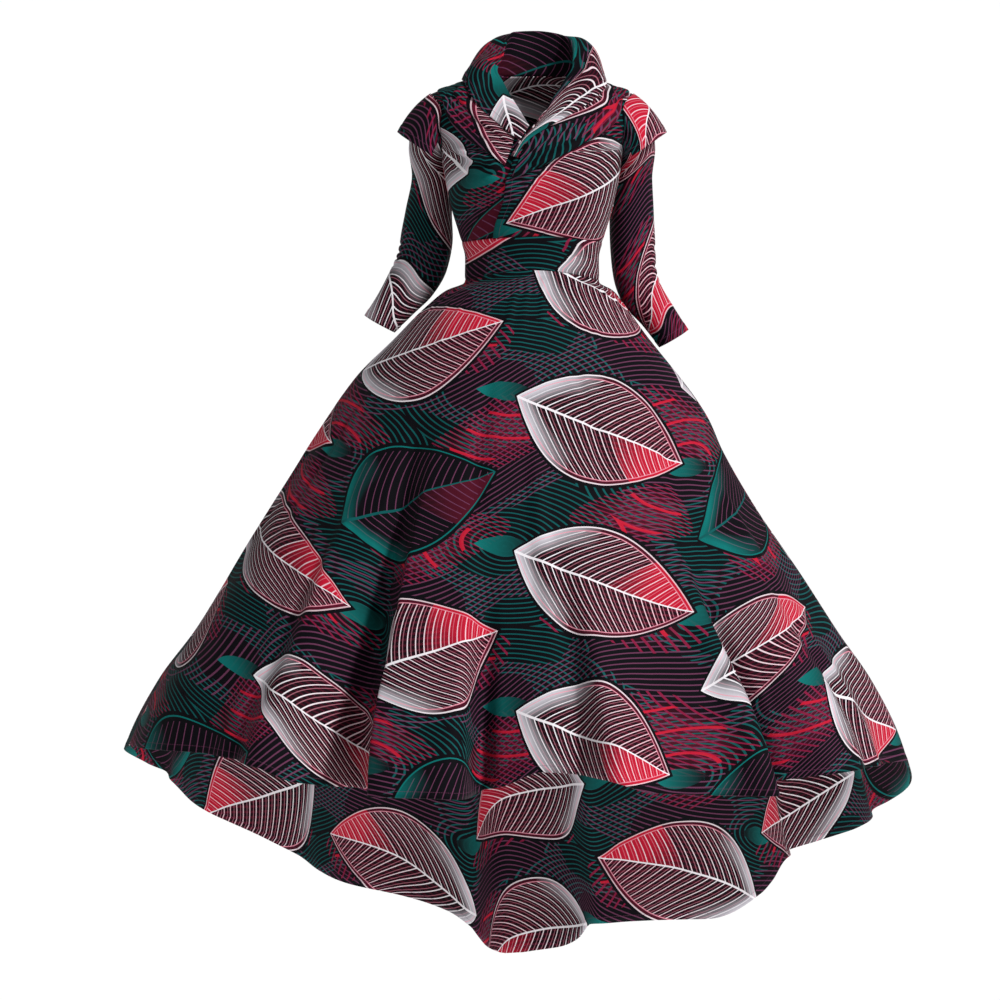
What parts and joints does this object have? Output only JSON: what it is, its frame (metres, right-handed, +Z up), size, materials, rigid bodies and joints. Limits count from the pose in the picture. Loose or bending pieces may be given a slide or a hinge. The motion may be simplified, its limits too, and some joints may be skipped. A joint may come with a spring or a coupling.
{
  "type": "wax-print cotton high-low circle-skirt dress",
  "caption": "Worn wrap-front dress with a rolled shawl collar, draped shoulder layers, capped fitted sleeves, a waistband and a full skirt whose hem drops at the back.",
  "frame": {"origin": "on the garment's centre plane at shoulder height, where the dress rests on its wearer's shoulders", "axes": "-Y is the front, +X is the wearer's left, +Z is up"},
  "size_m": [1.3422, 1.268, 1.6316],
  "materials": {
    "wax_print_cotton": "printed plain-weave cotton with a soft sheen"
  },
  "bodies": {
    "root": {"bodice_front_left": "wax_print_cotton", "bodice_front_right": "wax_print_cotton", "bodice_back": "wax_print_cotton", "waistband": "wax_print_cotton", "collar": "wax_print_cotton", "drape_left": "wax_print_cotton", "drape_right": "wax_print_cotton", "cap_left": "wax_print_cotton", "cap_right": "wax_print_cotton", "sleeve_left": "wax_print_cotton", "sleeve_right": "wax_print_cotton", "skirt_front": "wax_print_cotton", "skirt_back": "wax_print_cotton"}
  },
  "joints": []
}
